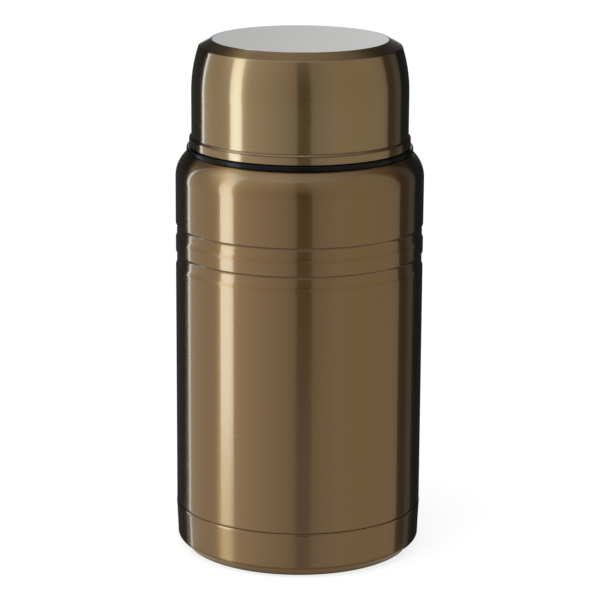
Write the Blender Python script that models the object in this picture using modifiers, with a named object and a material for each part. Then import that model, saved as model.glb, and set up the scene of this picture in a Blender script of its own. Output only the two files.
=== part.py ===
"""Wide-mouth vacuum growler: double-wall steel flask, vented screw stopper and screw-on cup lid.

Metres, +Z up, origin on the floor at the middle of the foot. Every turned piece shares the Z axis.
"""

import math

import bmesh
import bpy
from mathutils import Matrix, Vector

# Resolution of the turned shapes
SEGMENTS = 36
SMALL_SEGMENTS = 20
SHARP_ANGLE = math.radians(32)

# Stock and fits
SHEET = 0.0006
CLEARANCE = 0.0003

# Body, from the floor to the seat that carries the collar
BODY_RADIUS = 0.0500
BODY_HEIGHT = 0.1634
SHOULDER_RADIUS = 0.0126
SHOULDER_INSET = 0.0046
GROOVE_DEPTH = 0.0005
GROOVE_WIDTH = 0.0065
GROOVE_FLOOR = 0.0022
GROOVE_DROP = 0.0311
GROOVE_SPACING = 0.0113
VACUUM_GAP = 0.0043

# Base cup below the seam
BASE_HEIGHT = 0.0184
BASE_PROUD = 0.0001
BASE_TAPER = 0.0006
BASE_CHAMFER = 0.0038
FOOT_WIDTH = 0.0049
FOOT_SLOPE = 0.0020
FOOT_RECESS = 0.0020

# Vacuum closure
SPIGOT_GAP = 0.0012
WELD_HEIGHT = 0.0015
FLANGE_DROP = 0.0025
PORT_RADIUS = 0.0010
SEAL_HEAD_RADIUS = 0.0025
SEAL_HEAD_HEIGHT = 0.0014
GETTER_RADIUS = 0.0056
GETTER_HEIGHT = 0.0020
GETTER_OFFSET = 0.0220
CLIP_SHEET = 0.0003
CLIP_HEIGHT = 0.0014
GETTER_ROOM = 0.0027
DISH_HEIGHT = 0.0080
DISH_FILLET = 0.0025
FOIL = 0.0002

# Quick thread, one form for the cup and the stopper
THREAD_STARTS = 4
THREAD_SPAN = math.radians(60)
THREAD_STEPS = 6
THREAD_WIDTH = 0.0015
THREAD_DEPTH = 0.0009
THREAD_PLAY = 0.0005
THREAD_CLEARANCE = 0.00035
THREAD_ROOT = 0.0004
CREST_SHARE = 0.6

# Collar on the neck
COLLAR_PROUD = 0.0001
COLLAR_RING_HEIGHT = 0.0024
COLLAR_ROUND = 0.0009
COLLAR_WALL = 0.0015
COLLAR_MARGIN = 0.0004
RIM_RISE = 0.0010

# Cup lid, from its lower edge up
CUP_HEIGHT = 0.0427
CUP_REVEAL = 0.00105
CUP_STEP = 0.00087
CUP_BAND_HEIGHT = 0.0031
CUP_OGEE_HEIGHT = 0.0010
CUP_BARREL_DEPTH = 0.0211
CUP_BARREL_RADIUS = 0.0585
CUP_CORNER_DEPTH = 0.0036
CUP_CORNER_RADIUS = 0.0034
CUP_CROWN_RADIUS = 0.0191
CROWN_ANGLE = math.radians(60)
LINER_WALL = 0.0015
CUP_GASKET_HEIGHT = 0.0009

# Stopper
LEDGE_RISE = 0.0008
GASKET_WIDTH = 0.0019
GASKET_HEIGHT = 0.0022
GASKET_BEVEL = 0.0004
THROAT_CLEARANCE = 0.0005
NOSE_DEPTH = 0.0071
NOSE_CHAMFER = 0.0016
STOPPER_WALL = 0.0018
STOPPER_FLOOR = 0.0020
COVER_HEIGHT = 0.0067
COVER_PLATE = 0.0020
COVER_BEVEL = 0.0012
COVER_SKIRT_DEPTH = 0.0010
FLUTE_COUNT = 12
FLUTE_RADIUS = 0.0040
FLUTE_DEPTH = 0.0010

# Vent valve in the stopper
STEM_RADIUS = 0.0020
STEM_PLAY = 0.0006
STEM_SOCKET = 0.0026
CHIMNEY_BORE = 0.0053
CHIMNEY_WALL = 0.0017
POPPET_RADIUS = 0.0056
POPPET_HEIGHT = 0.0014
VENT_SEAL_HEIGHT = 0.0008
VENT_SEAL_INSET = 0.0006
BUTTON_RADIUS = 0.0082
BUTTON_PLAY = 0.0004
BUTTON_RISE = 0.0015
BUTTON_BEVEL = 0.0006
BUTTON_FLANGE_WIDTH = 0.0014
BUTTON_FLANGE_HEIGHT = 0.0016
PRESS_TRAVEL = 0.0030
PRESS_MARGIN = 0.0005
SPRING_WIRE = 0.0009
SPRING_TURNS = 7
SPRING_POINTS = 9

# Radii, worked inwards from the collar's ring to the stopper
RING_RADIUS = BODY_RADIUS - SHOULDER_INSET + COLLAR_PROUD
CUP_BAND_RADIUS = RING_RADIUS - CUP_REVEAL
CUP_RADIUS = CUP_BAND_RADIUS - CUP_STEP
LINER_RADIUS = CUP_RADIUS - SHEET - CLEARANCE
LINER_BORE = LINER_RADIUS - LINER_WALL
LINER_LIP_RADIUS = CUP_BAND_RADIUS - SHEET - CLEARANCE
COLLAR_RADIUS = LINER_BORE - THREAD_DEPTH - THREAD_CLEARANCE
COLLAR_BORE = COLLAR_RADIUS - COLLAR_WALL
NECK_RADIUS = COLLAR_BORE - CLEARANCE
INNER_NECK_RADIUS = NECK_RADIUS - SHEET - CLEARANCE
MOUTH_RADIUS = INNER_NECK_RADIUS - SHEET
PLUG_RADIUS = MOUTH_RADIUS - THREAD_DEPTH - THREAD_CLEARANCE
NOSE_RADIUS = PLUG_RADIUS - GASKET_WIDTH
THROAT_RADIUS = NOSE_RADIUS + THROAT_CLEARANCE
VESSEL_RADIUS = BODY_RADIUS - SHEET - VACUUM_GAP
BASE_TOP_RADIUS = BODY_RADIUS + BASE_PROUD
BASE_LOW_RADIUS = BASE_TOP_RADIUS - BASE_TAPER
SPIGOT_RADIUS = BASE_LOW_RADIUS - SHEET - CLEARANCE
PLATE_RADIUS = SPIGOT_RADIUS - SHEET - CLEARANCE
DISH_RADIUS = VESSEL_RADIUS + CLEARANCE + SHEET
PLUG_CAVITY = NOSE_RADIUS - STOPPER_WALL
CHIMNEY_RADIUS = CHIMNEY_BORE + CHIMNEY_WALL
COVER_RADIUS = INNER_NECK_RADIUS + CLEARANCE
COVER_SKIRT_RADIUS = PLUG_CAVITY - CLEARANCE

# Thread rise
THREAD_PITCH = 2 * (THREAD_WIDTH + THREAD_PLAY)
THREAD_LEAD = THREAD_STARTS * THREAD_PITCH
THREAD_CLIMB = THREAD_LEAD * THREAD_SPAN / math.tau
THREAD_FOOT = CLEARANCE + THREAD_WIDTH / 2
THREAD_ZONE = THREAD_FOOT + THREAD_PITCH / 2 + THREAD_CLIMB + THREAD_WIDTH / 2

# Heights above the floor
SHOULDER_ANGLE = math.acos(1 - SHOULDER_INSET / SHOULDER_RADIUS)
SHOULDER_START = BODY_HEIGHT - SHOULDER_RADIUS * math.sin(SHOULDER_ANGLE)
UPPER_GROOVE = BODY_HEIGHT - GROOVE_DROP
LOWER_GROOVE = UPPER_GROOVE - GROOVE_SPACING
SPIGOT_END = BASE_CHAMFER + SPIGOT_GAP
PLATE_TOP = SPIGOT_END + WELD_HEIGHT
CLIP_BOTTOM = PLATE_TOP + CLEARANCE
GETTER_BOTTOM = CLIP_BOTTOM + CLIP_SHEET + CLEARANCE
DISH_BOTTOM = GETTER_BOTTOM + GETTER_HEIGHT + GETTER_ROOM
DISH_TOP = DISH_BOTTOM + DISH_HEIGHT
VESSEL_END = DISH_BOTTOM + DISH_FILLET + CLEARANCE
VESSEL_SHOULDER_TOP = BODY_HEIGHT - SHEET - VACUUM_GAP
VESSEL_SHOULDER_RADIUS = VESSEL_RADIUS - THROAT_RADIUS - SHEET
COLLAR_BOTTOM = BODY_HEIGHT + CLEARANCE
RING_TOP = COLLAR_BOTTOM + COLLAR_RING_HEIGHT
CUP_EDGE = RING_TOP + CLEARANCE
LINER_BOTTOM = CUP_GASKET_HEIGHT + CLEARANCE
COLLAR_TOP = CUP_EDGE + LINER_BOTTOM + THREAD_ZONE + COLLAR_MARGIN
RIM_TOP = COLLAR_TOP + RIM_RISE
LEDGE_TOP = BODY_HEIGHT + LEDGE_RISE
STOPPER_SEAT = LEDGE_TOP + 2 * CLEARANCE + GASKET_HEIGHT

# Heights above the rim, for the stopper and its valve
PLUG_SHOULDER = STOPPER_SEAT - RIM_TOP
NOSE_BOTTOM = PLUG_SHOULDER - NOSE_DEPTH
FLOOR_TOP = NOSE_BOTTOM + STOPPER_FLOOR
COVER_BOTTOM = CLEARANCE
COVER_TOP = COVER_BOTTOM + COVER_HEIGHT
FLANGE_TOP = COVER_TOP - COVER_PLATE - CLEARANCE
FLANGE_BOTTOM = FLANGE_TOP - BUTTON_FLANGE_HEIGHT
CHIMNEY_TOP = FLANGE_BOTTOM - PRESS_TRAVEL - PRESS_MARGIN
VENT_SEAL_TOP = NOSE_BOTTOM - CLEARANCE
POPPET_TOP = VENT_SEAL_TOP - VENT_SEAL_HEIGHT - CLEARANCE

# Cup crown in three rounds that share tangents: barrel up the wall, tight corner, low crown to the disc
BARREL_BOTTOM = CUP_HEIGHT - CUP_BARREL_DEPTH
BARREL_CENTRE = CUP_RADIUS - CUP_BARREL_RADIUS
BARREL_ANGLE = math.asin((CUP_BARREL_DEPTH - CUP_CORNER_DEPTH) / CUP_BARREL_RADIUS)
CORNER_CENTRE = BARREL_CENTRE + (CUP_BARREL_RADIUS - CUP_CORNER_RADIUS) * math.cos(BARREL_ANGLE)
CORNER_HEIGHT = BARREL_BOTTOM + (CUP_BARREL_RADIUS - CUP_CORNER_RADIUS) * math.sin(BARREL_ANGLE)
CROWN_CENTRE = CORNER_CENTRE - (CUP_CROWN_RADIUS - CUP_CORNER_RADIUS) * math.cos(CROWN_ANGLE)
CROWN_HEIGHT = CORNER_HEIGHT - (CUP_CROWN_RADIUS - CUP_CORNER_RADIUS) * math.sin(CROWN_ANGLE)
RECESS_RADIUS = CROWN_CENTRE + math.sqrt(CUP_CROWN_RADIUS**2 - (CUP_HEIGHT - CROWN_HEIGHT) ** 2)
DISC_RADIUS = RECESS_RADIUS - CLEARANCE
DISC_RECESS = SHEET + CLEARANCE

# Finishes: sRGB colour, roughness, metallic
FINISHES = {
    "bronze lacquered steel": ("#927A58", 0.28, 1.0),
    "brushed steel": ("#C4C3C1", 0.30, 1.0),
    "black polypropylene": ("#141414", 0.22, 0.0),
    "grey silicone": ("#8E908F", 0.55, 0.0),
    "white foam": ("#E4E1DA", 0.85, 0.0),
    "bright foil": ("#D0CFCC", 0.18, 1.0),
    "sintered getter": ("#4B4A48", 0.80, 0.6),
    "sealing glass": ("#39463F", 0.15, 0.0),
    "spring steel": ("#9A9A98", 0.35, 1.0),
}


def linear_rgba(code):
    """Linear RGBA of an sRGB hex colour."""
    channels = [int(code[i : i + 2], 16) / 255 for i in (1, 3, 5)]
    return [c / 12.92 if c <= 0.04045 else ((c + 0.055) / 1.055) ** 2.4 for c in channels] + [1.0]


def new_collection(name):
    collection = bpy.data.collections.new(name)
    bpy.context.scene.collection.children.link(collection)
    return collection


def give_finish(obj, finish):
    code, roughness, metallic = FINISHES[finish]
    material = bpy.data.materials.new(f"{obj.name} {finish}")
    material.use_nodes = True
    shader = material.node_tree.nodes["Principled BSDF"]
    shader.inputs["Base Color"].default_value = linear_rgba(code)
    shader.inputs["Roughness"].default_value = roughness
    shader.inputs["Metallic"].default_value = metallic
    obj.data.materials.append(material)


def add_part(name, data, finish, carrier, location=(0, 0, 0)):
    """Object in the part's collection, carried by an empty on its axis."""
    obj = bpy.data.objects.new(name, data)
    obj.parent = carrier
    obj.location = location
    PARTS.objects.link(obj)
    give_finish(obj, finish)
    return obj


def add_cutter(name, mesh, carrier):
    """Helper solid that a Boolean reads."""
    obj = bpy.data.objects.new(name, mesh)
    obj.parent = carrier
    obj.hide_render = True
    obj.display_type = "WIRE"
    CUTTERS.objects.link(obj)
    return obj


def add_axis(name, height, carrier=None):
    """Empty on the common axis."""
    obj = bpy.data.objects.new(name, None)
    obj.empty_display_size = 0.02
    obj.location = (0, 0, height)
    obj.parent = carrier
    PARTS.objects.link(obj)
    return obj


def arc(centre_r, centre_z, radius, start, end, steps):
    """Points of a profile round from one angle to another, both ends included."""
    angles = [start + (end - start) * i / steps for i in range(steps + 1)]
    return [(centre_r + radius * math.cos(a), centre_z + radius * math.sin(a)) for a in angles]


def turned(name, profile, finish, carrier, loop=False, sheet=None, segments=SEGMENTS, location=(0, 0, 0)):
    """Profile turned about Z. It runs down its outer side; sheet gives an open one its thickness."""
    count = len(profile)
    edges = [(i, i + 1) for i in range(count - 1)] + ([(count - 1, 0)] if loop else [])
    mesh = bpy.data.meshes.new(name)
    mesh.from_pydata([(r, 0, z) for r, z in profile], edges, [])
    obj = add_part(name, mesh, finish, carrier, location)
    screw = obj.modifiers.new("Turn", "SCREW")
    screw.axis = "Z"
    screw.steps = screw.render_steps = segments
    screw.use_merge_vertices = True
    screw.merge_threshold = 0.00001
    if sheet:
        solidify = obj.modifiers.new("Sheet", "SOLIDIFY")
        solidify.thickness = sheet
        solidify.offset = -1
        solidify.use_even_offset = True
    return obj


def boolean(obj, cutter, operation):
    modifier = obj.modifiers.new(cutter.name, "BOOLEAN")
    modifier.operation = operation
    modifier.solver = "EXACT"
    modifier.object = cutter


def thread_lugs(name, wall, outward, start_z, carrier):
    """Helical thread segments, one for each start, rooted a little way into a wall."""
    side = 1 if outward else -1
    root, crest = wall - side * THREAD_ROOT, wall + side * THREAD_DEPTH
    half_root, half_crest = THREAD_WIDTH / 2, THREAD_WIDTH * CREST_SHARE / 2
    section = [(root, -half_root), (crest, -half_crest), (crest, half_crest), (root, half_root)]
    bm = bmesh.new()
    for start in range(THREAD_STARTS):
        turn = Matrix.Rotation(start * math.tau / THREAD_STARTS, 4, "Z")
        corners = [bm.verts.new(turn @ Vector((r, 0, start_z + z))) for r, z in section]
        face = bm.faces.new(corners)
        bmesh.ops.spin(
            bm,
            geom=[face, *face.edges, *face.verts],
            cent=(0, 0, 0),
            axis=(0, 0, 1),
            dvec=(0, 0, THREAD_CLIMB / THREAD_STEPS),
            angle=THREAD_SPAN,
            steps=THREAD_STEPS,
        )
    bmesh.ops.holes_fill(bm, edges=bm.edges[:], sides=4)
    bmesh.ops.recalc_face_normals(bm, faces=bm.faces[:])
    mesh = bpy.data.meshes.new(name)
    bm.to_mesh(mesh)
    bm.free()
    return add_cutter(name, mesh, carrier)


def flute_ring(name, carrier):
    """Upright cylinders that scallop the edge of the stopper's cover."""
    centre = COVER_RADIUS + FLUTE_RADIUS - FLUTE_DEPTH
    middle = (COVER_BOTTOM + COVER_TOP) / 2
    bm = bmesh.new()
    for i in range(FLUTE_COUNT):
        turn = Matrix.Rotation((i + 0.5) * math.tau / FLUTE_COUNT, 4, "Z")
        bmesh.ops.create_cone(
            bm,
            cap_ends=True,
            segments=16,
            radius1=FLUTE_RADIUS,
            radius2=FLUTE_RADIUS,
            depth=2 * COVER_HEIGHT,
            matrix=turn @ Matrix.Translation((centre, 0, middle)),
        )
    mesh = bpy.data.meshes.new(name)
    bm.to_mesh(mesh)
    bm.free()
    return add_cutter(name, mesh, carrier)


def groove(height):
    """Rolled groove in the body wall, from its upper edge to its lower edge."""
    floor = BODY_RADIUS - GROOVE_DEPTH
    return [
        (BODY_RADIUS, height + GROOVE_WIDTH / 2),
        (floor, height + GROOVE_FLOOR / 2),
        (floor, height - GROOVE_FLOOR / 2),
        (BODY_RADIUS, height - GROOVE_WIDTH / 2),
    ]


def crown(inset, top, steps):
    """Cup crown moved in by inset and cut off flat at a height, from the flat to the straight wall."""
    cut = math.asin((top - CROWN_HEIGHT) / (CUP_CROWN_RADIUS - inset))
    return [
        *arc(CROWN_CENTRE, CROWN_HEIGHT, CUP_CROWN_RADIUS - inset, cut, CROWN_ANGLE, 2),
        *arc(CORNER_CENTRE, CORNER_HEIGHT, CUP_CORNER_RADIUS - inset, CROWN_ANGLE, BARREL_ANGLE, steps)[1:],
        *arc(BARREL_CENTRE, BARREL_BOTTOM, CUP_BARREL_RADIUS - inset, BARREL_ANGLE, 0, steps)[1:],
    ]


def build_flask(axis):
    turned(
        "outer_shell",
        [
            (NECK_RADIUS, RIM_TOP - SHEET - CLEARANCE),
            (NECK_RADIUS, BODY_HEIGHT),
            *arc(BODY_RADIUS - SHOULDER_RADIUS, SHOULDER_START, SHOULDER_RADIUS, SHOULDER_ANGLE, 0, 5),
            *groove(UPPER_GROOVE),
            *groove(LOWER_GROOVE),
            (BODY_RADIUS, BASE_HEIGHT + CLEARANCE),
            (SPIGOT_RADIUS, BASE_HEIGHT + CLEARANCE),
            (SPIGOT_RADIUS, SPIGOT_END),
        ],
        "bronze lacquered steel",
        axis,
        sheet=SHEET,
    )
    foot_outer = BASE_LOW_RADIUS - BASE_CHAMFER
    foot_inner = foot_outer - FOOT_WIDTH
    turned(
        "base_cup",
        [
            (BASE_TOP_RADIUS, BASE_HEIGHT),
            (BASE_LOW_RADIUS, BASE_CHAMFER),
            (foot_outer, 0),
            (foot_inner, 0),
            (foot_inner - FOOT_SLOPE, FOOT_RECESS),
            (0, FOOT_RECESS),
        ],
        "bronze lacquered steel",
        axis,
        sheet=SHEET,
    )
    turned(
        "outer_bottom",
        [(PORT_RADIUS, PLATE_TOP), (PLATE_RADIUS, PLATE_TOP), (PLATE_RADIUS, PLATE_TOP - FLANGE_DROP)],
        "brushed steel",
        axis,
        sheet=SHEET,
    )
    seal_head_top = PLATE_TOP - SHEET - CLEARANCE
    seal_stem = PORT_RADIUS - CLEARANCE
    turned(
        "vacuum_seal",
        [
            (0, PLATE_TOP),
            (seal_stem, PLATE_TOP),
            (seal_stem, seal_head_top),
            (SEAL_HEAD_RADIUS, seal_head_top),
            (SEAL_HEAD_RADIUS, seal_head_top - SEAL_HEAD_HEIGHT),
            (0, seal_head_top - SEAL_HEAD_HEIGHT),
        ],
        "sealing glass",
        axis,
        segments=SMALL_SEGMENTS,
    )
    clip_radius = GETTER_RADIUS + CLEARANCE + CLIP_SHEET
    turned(
        "getter_clip",
        [(clip_radius, CLIP_HEIGHT), (clip_radius, 0), (0, 0)],
        "brushed steel",
        axis,
        sheet=CLIP_SHEET,
        segments=SMALL_SEGMENTS,
        location=(GETTER_OFFSET, 0, CLIP_BOTTOM),
    )
    turned(
        "getter",
        [(0, GETTER_HEIGHT), (GETTER_RADIUS, GETTER_HEIGHT), (GETTER_RADIUS, 0), (0, 0)],
        "sintered getter",
        axis,
        segments=SMALL_SEGMENTS,
        location=(GETTER_OFFSET, 0, GETTER_BOTTOM),
    )
    vessel = turned(
        "inner_vessel",
        [
            (NECK_RADIUS, RIM_TOP - SHEET),
            (INNER_NECK_RADIUS, RIM_TOP - SHEET),
            (INNER_NECK_RADIUS, LEDGE_TOP - SHEET),
            (THROAT_RADIUS + SHEET, LEDGE_TOP - SHEET),
            *arc(
                VESSEL_RADIUS - VESSEL_SHOULDER_RADIUS,
                VESSEL_SHOULDER_TOP - VESSEL_SHOULDER_RADIUS,
                VESSEL_SHOULDER_RADIUS,
                math.pi / 2,
                0,
                5,
            ),
            (VESSEL_RADIUS, VESSEL_END),
        ],
        "brushed steel",
        axis,
        sheet=SHEET,
    )
    neck_thread = STOPPER_SEAT + THREAD_FOOT + THREAD_PITCH / 2
    boolean(vessel, thread_lugs("neck_lugs", MOUTH_RADIUS, False, neck_thread, axis), "UNION")
    turned(
        "inner_bottom",
        [
            (DISH_RADIUS, DISH_TOP),
            *arc(DISH_RADIUS - DISH_FILLET, DISH_BOTTOM + DISH_FILLET, DISH_FILLET, 0, -math.pi / 2, 3),
            (0, DISH_BOTTOM),
        ],
        "brushed steel",
        axis,
        sheet=SHEET,
    )
    foil_radius = VESSEL_RADIUS + CLEARANCE + FOIL
    foil_top = VESSEL_SHOULDER_TOP - VESSEL_SHOULDER_RADIUS
    turned(
        "foil_wrap",
        [(foil_radius, foil_top), (foil_radius, DISH_TOP + CLEARANCE)],
        "bright foil",
        axis,
        sheet=FOIL,
    )
    round_centre = RING_RADIUS - COLLAR_ROUND
    collar = turned(
        "neck_collar",
        [
            (COLLAR_RADIUS, COLLAR_TOP),
            (COLLAR_RADIUS, RING_TOP),
            *arc(round_centre, RING_TOP - COLLAR_ROUND, COLLAR_ROUND, math.pi / 2, 0, 3),
            *arc(round_centre, COLLAR_BOTTOM + COLLAR_ROUND, COLLAR_ROUND, 0, -math.pi / 2, 3),
            (COLLAR_BORE, COLLAR_BOTTOM),
            (COLLAR_BORE, COLLAR_TOP),
        ],
        "black polypropylene",
        axis,
        loop=True,
    )
    collar_thread = CUP_EDGE + LINER_BOTTOM + THREAD_FOOT + THREAD_PITCH / 2
    boolean(collar, thread_lugs("collar_lugs", COLLAR_RADIUS, True, collar_thread, axis), "UNION")


def build_cup(axis):
    step = CUP_BAND_HEIGHT + CUP_OGEE_HEIGHT
    turned(
        "cup_shell",
        [
            (0, CUP_HEIGHT - DISC_RECESS),
            (RECESS_RADIUS, CUP_HEIGHT - DISC_RECESS),
            *crown(0, CUP_HEIGHT, 4),
            (CUP_RADIUS, step),
            (CUP_RADIUS + CUP_STEP * 0.12, step - CUP_OGEE_HEIGHT * 0.35),
            (CUP_BAND_RADIUS - CUP_STEP * 0.12, step - CUP_OGEE_HEIGHT * 0.65),
            (CUP_BAND_RADIUS, CUP_BAND_HEIGHT),
            (CUP_BAND_RADIUS, 0),
        ],
        "bronze lacquered steel",
        axis,
        sheet=SHEET,
    )
    disc_bottom = CUP_HEIGHT - SHEET
    turned(
        "cup_top_disc",
        [(0, CUP_HEIGHT), (DISC_RADIUS, CUP_HEIGHT), (DISC_RADIUS, disc_bottom), (0, disc_bottom)],
        "brushed steel",
        axis,
    )
    inset = SHEET + CLEARANCE
    liner_top = CUP_HEIGHT - DISC_RECESS - inset
    lip_top = CUP_BAND_HEIGHT - CLEARANCE
    inside = crown(inset + LINER_WALL, liner_top - LINER_WALL, 3)
    liner = turned(
        "cup_liner",
        [
            (0, liner_top),
            *crown(inset, liner_top, 3),
            (LINER_RADIUS, lip_top),
            (LINER_LIP_RADIUS, lip_top),
            (LINER_LIP_RADIUS, LINER_BOTTOM),
            (LINER_BORE, LINER_BOTTOM),
            *reversed(inside),
            (0, liner_top - LINER_WALL),
        ],
        "black polypropylene",
        axis,
    )
    boolean(liner, thread_lugs("liner_lugs", LINER_BORE, False, LINER_BOTTOM + THREAD_FOOT, axis), "UNION")
    gasket_inner, gasket_outer = LINER_BORE + CLEARANCE, LINER_LIP_RADIUS - CLEARANCE
    turned(
        "cup_gasket",
        [
            (gasket_inner, CUP_GASKET_HEIGHT),
            (gasket_outer, CUP_GASKET_HEIGHT),
            (gasket_outer, 0),
            (gasket_inner, 0),
        ],
        "grey silicone",
        axis,
        loop=True,
    )


def build_stopper(axis):
    body = turned(
        "stopper_body",
        [
            (PLUG_RADIUS, 0),
            (PLUG_RADIUS, PLUG_SHOULDER),
            (NOSE_RADIUS, PLUG_SHOULDER),
            (NOSE_RADIUS, NOSE_BOTTOM + NOSE_CHAMFER),
            (NOSE_RADIUS - NOSE_CHAMFER, NOSE_BOTTOM),
            (STEM_RADIUS + STEM_PLAY, NOSE_BOTTOM),
            (STEM_RADIUS + STEM_PLAY, FLOOR_TOP),
            (CHIMNEY_BORE, FLOOR_TOP),
            (CHIMNEY_BORE, CHIMNEY_TOP),
            (CHIMNEY_RADIUS, CHIMNEY_TOP),
            (CHIMNEY_RADIUS, FLOOR_TOP),
            (PLUG_CAVITY, FLOOR_TOP),
            (PLUG_CAVITY, 0),
        ],
        "black polypropylene",
        axis,
        loop=True,
    )
    boolean(body, thread_lugs("stopper_lugs", PLUG_RADIUS, True, PLUG_SHOULDER + THREAD_FOOT, axis), "UNION")
    skirt_inner = COVER_SKIRT_RADIUS - STOPPER_WALL
    cover = turned(
        "stopper_cover",
        [
            (BUTTON_RADIUS + BUTTON_PLAY, COVER_TOP),
            (COVER_RADIUS - COVER_BEVEL, COVER_TOP),
            (COVER_RADIUS, COVER_TOP - COVER_BEVEL),
            (COVER_RADIUS, COVER_BOTTOM),
            (COVER_SKIRT_RADIUS, COVER_BOTTOM),
            (COVER_SKIRT_RADIUS, -COVER_SKIRT_DEPTH),
            (skirt_inner, -COVER_SKIRT_DEPTH),
            (skirt_inner, COVER_TOP - COVER_PLATE),
            (BUTTON_RADIUS + BUTTON_PLAY, COVER_TOP - COVER_PLATE),
        ],
        "black polypropylene",
        axis,
        loop=True,
    )
    boolean(cover, flute_ring("cover_flutes", axis), "DIFFERENCE")
    foam_inner, foam_outer = CHIMNEY_RADIUS + CLEARANCE, PLUG_CAVITY - CLEARANCE
    foam_top, foam_bottom = -COVER_SKIRT_DEPTH - CLEARANCE, FLOOR_TOP + CLEARANCE
    turned(
        "stopper_foam",
        [(foam_inner, foam_top), (foam_outer, foam_top), (foam_outer, foam_bottom), (foam_inner, foam_bottom)],
        "white foam",
        axis,
        loop=True,
    )
    ring_inner, ring_outer = NOSE_RADIUS + CLEARANCE, PLUG_RADIUS
    ring_top = PLUG_SHOULDER - CLEARANCE
    ring_bottom = ring_top - GASKET_HEIGHT
    turned(
        "stopper_gasket",
        [
            (ring_inner, ring_top),
            (ring_outer - GASKET_BEVEL, ring_top),
            (ring_outer, ring_top - GASKET_BEVEL),
            (ring_outer, ring_bottom + GASKET_BEVEL),
            (ring_outer - GASKET_BEVEL, ring_bottom),
            (ring_inner, ring_bottom),
        ],
        "grey silicone",
        axis,
        loop=True,
    )


def build_vent(axis):
    flange_radius = BUTTON_RADIUS + BUTTON_FLANGE_WIDTH
    button_top = COVER_TOP + BUTTON_RISE
    socket_top = FLANGE_BOTTOM + STEM_SOCKET
    turned(
        "vent_button",
        [
            (0, button_top),
            (BUTTON_RADIUS - BUTTON_BEVEL, button_top),
            (BUTTON_RADIUS, button_top - BUTTON_BEVEL),
            (BUTTON_RADIUS, FLANGE_TOP),
            (flange_radius, FLANGE_TOP),
            (flange_radius, FLANGE_BOTTOM),
            (STEM_RADIUS + CLEARANCE, FLANGE_BOTTOM),
            (STEM_RADIUS + CLEARANCE, socket_top),
            (0, socket_top),
        ],
        "black polypropylene",
        axis,
        segments=SMALL_SEGMENTS,
    )
    turned(
        "vent_stem",
        [
            (0, socket_top - CLEARANCE),
            (STEM_RADIUS, socket_top - CLEARANCE),
            (STEM_RADIUS, POPPET_TOP),
            (POPPET_RADIUS, POPPET_TOP),
            (POPPET_RADIUS, POPPET_TOP - POPPET_HEIGHT),
            (0, POPPET_TOP - POPPET_HEIGHT),
        ],
        "brushed steel",
        axis,
        segments=SMALL_SEGMENTS,
    )
    seal_outer = POPPET_RADIUS - VENT_SEAL_INSET
    seal_bottom = VENT_SEAL_TOP - VENT_SEAL_HEIGHT
    turned(
        "vent_seal",
        [
            (STEM_RADIUS + CLEARANCE, VENT_SEAL_TOP),
            (seal_outer, VENT_SEAL_TOP),
            (seal_outer, seal_bottom),
            (STEM_RADIUS + CLEARANCE, seal_bottom),
        ],
        "grey silicone",
        axis,
        loop=True,
        segments=SMALL_SEGMENTS,
    )
    build_spring(axis)


def build_spring(axis):
    """Return spring round the stem, from the chimney's floor to the button."""
    wire = SPRING_WIRE / 2
    radius = (STEM_RADIUS + CHIMNEY_BORE) / 2
    low, high = FLOOR_TOP + CLEARANCE + wire, FLANGE_BOTTOM - CLEARANCE - wire
    count = SPRING_TURNS * SPRING_POINTS
    points = []
    for i in range(count + 1):
        angle = i * math.tau / SPRING_POINTS
        points.append(Vector((radius * math.cos(angle), radius * math.sin(angle), low + (high - low) * i / count)))
    apart = SPRING_POINTS // 2
    gap = min((a - b).length for i, a in enumerate(points) for b in points[i + apart :]) - SPRING_WIRE
    print(f"vent_spring least gap to itself {gap * 1000:.2f} mm")
    curve = bpy.data.curves.new("vent_spring", "CURVE")
    curve.dimensions = "3D"
    curve.bevel_depth = wire
    curve.bevel_resolution = 1
    curve.use_fill_caps = True
    spline = curve.splines.new("POLY")
    spline.points.add(count)
    for point, place in zip(spline.points, points):
        point.co = (*place, 1)
    add_part("vent_spring", curve, "spring steel", axis)


def apply_shapes():
    """Turns each part's modifiers into its mesh, with crisp edges between smooth faces."""
    graph = bpy.context.evaluated_depsgraph_get()
    meshes = [obj for obj in PARTS.objects if obj.type == "MESH"]
    shapes = {obj: bpy.data.meshes.new_from_object(obj.evaluated_get(graph)) for obj in meshes}
    for obj, shape in shapes.items():
        obj.modifiers.clear()
        obj.data = shape
        shape.name = obj.name
        shape.shade_smooth()
        shape.set_sharp_from_angle(angle=SHARP_ANGLE)


for old in list(bpy.data.objects):
    bpy.data.objects.remove(old)

PARTS = new_collection("growler")
CUTTERS = new_collection("growler cutters")

flask_axis = add_axis("flask_axis", 0)
cup_axis = add_axis("cup_axis", CUP_EDGE, flask_axis)
stopper_axis = add_axis("stopper_axis", RIM_TOP, flask_axis)
vent_axis = add_axis("vent_axis", 0, stopper_axis)

build_flask(flask_axis)
build_cup(cup_axis)
build_stopper(stopper_axis)
build_vent(vent_axis)
apply_shapes()
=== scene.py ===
"""Looks of the wide-mouth vacuum growler: lacquered shells, black mouldings, steel vessel, studio, camera.

Profiles are (radius, height) in millimetres in the frame of the CAD model, and are turned about Z.
"""

import math

import bpy
from mathutils import Matrix, Vector


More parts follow.
